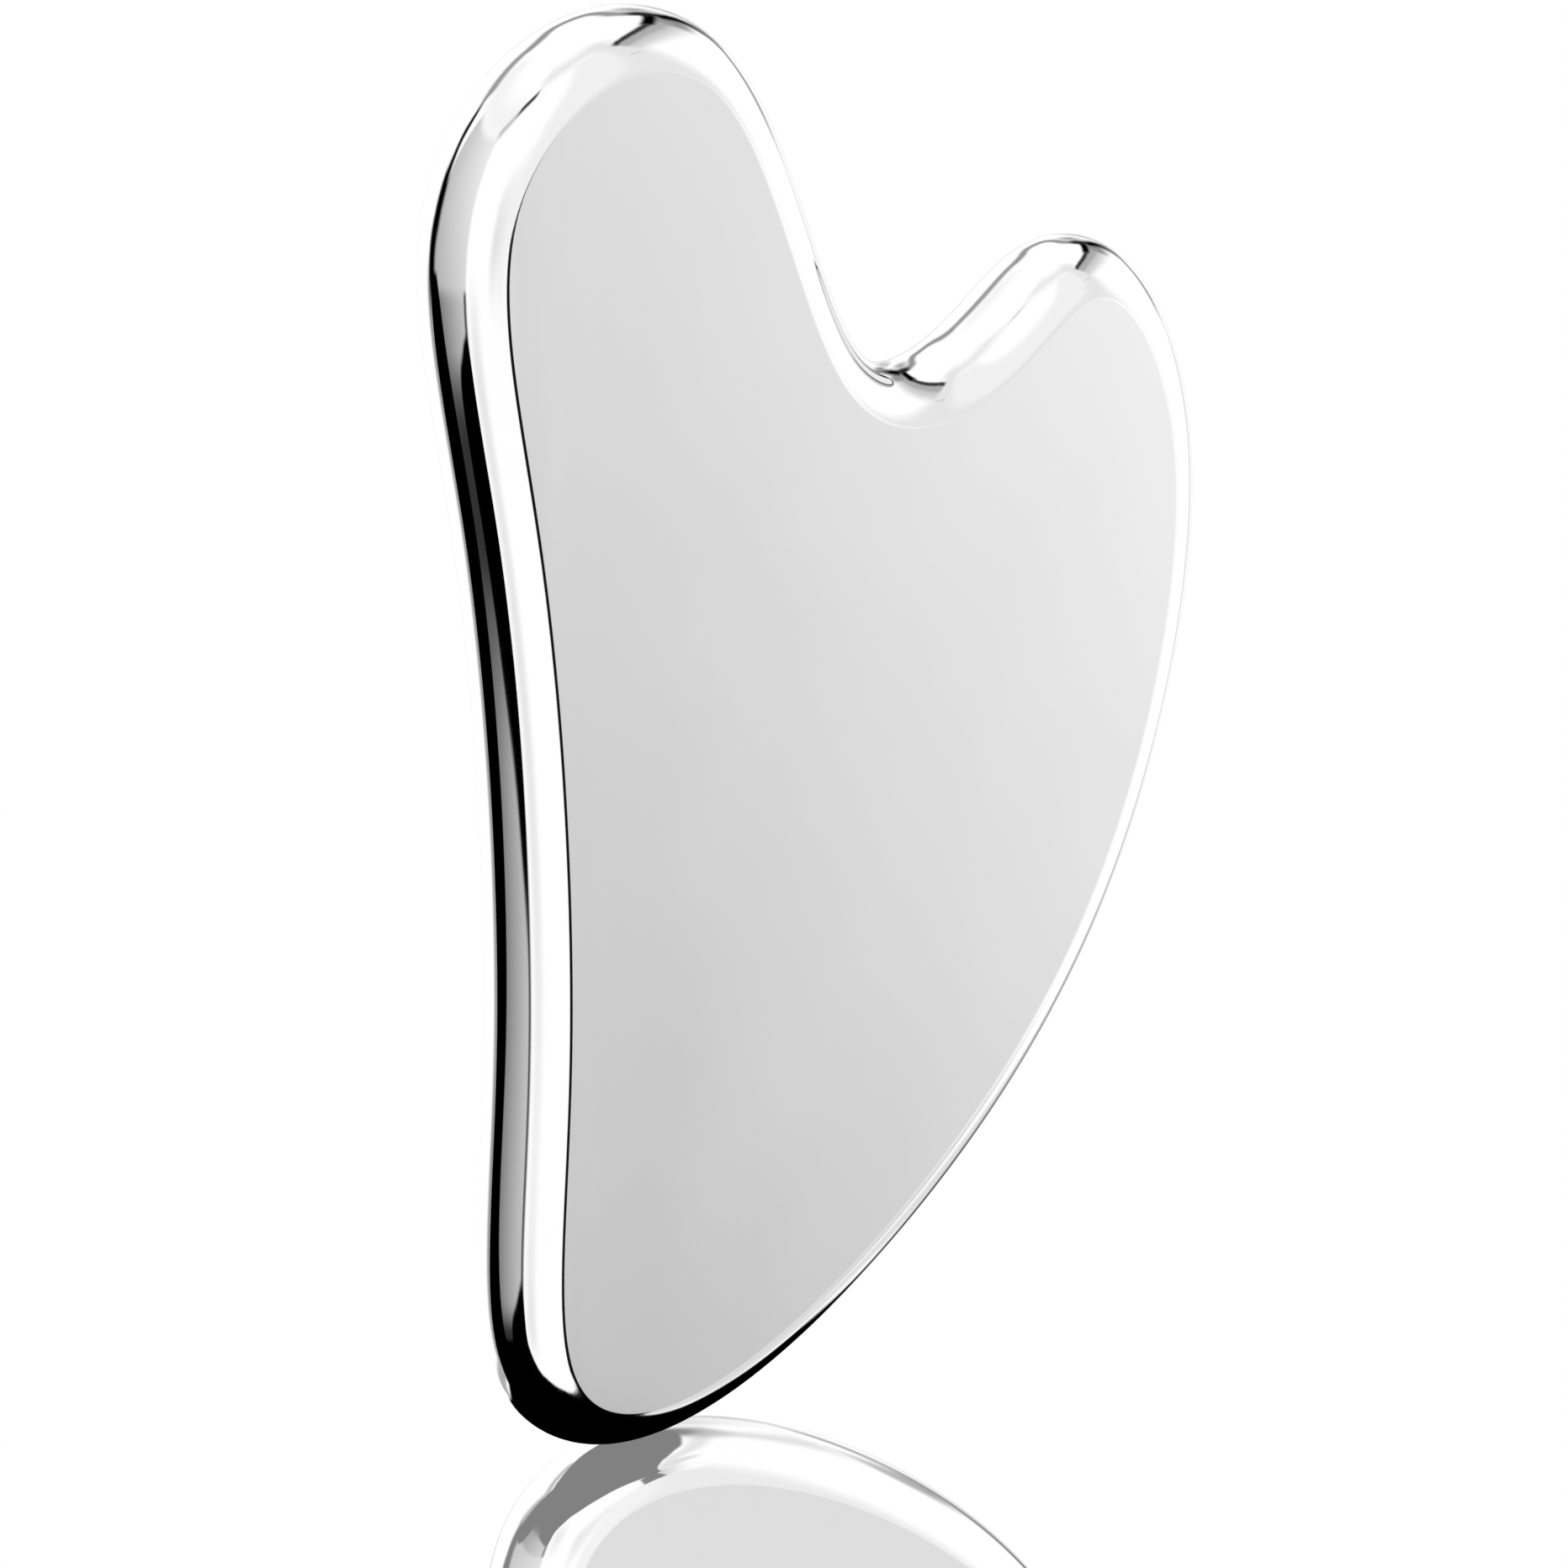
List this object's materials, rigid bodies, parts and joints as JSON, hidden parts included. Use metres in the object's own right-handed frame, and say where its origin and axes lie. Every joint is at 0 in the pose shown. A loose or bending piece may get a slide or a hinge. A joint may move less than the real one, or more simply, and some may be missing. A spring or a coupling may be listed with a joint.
{
  "type": "gua sha scraper",
  "caption": "Heart-shaped gua sha scraper: a flat, mirror-polished steel plate with rounded edges, a long and a short lobe, a notch between them and a rounded tip.",
  "frame": {"origin": "on the floor plane below the middle of the plate's width and thickness, at the level of the tip's lowest point", "axes": "+Z from the tip up to the long lobe, +X from the long straight side across to the short lobe, -Y out of the front face"},
  "size_m": [0.0522, 0.0066, 0.085],
  "materials": {
    "polished_steel": "stainless steel, polished to a mirror all over"
  },
  "bodies": {
    "root": {"scraper_plate": "polished_steel"}
  },
  "joints": []
}
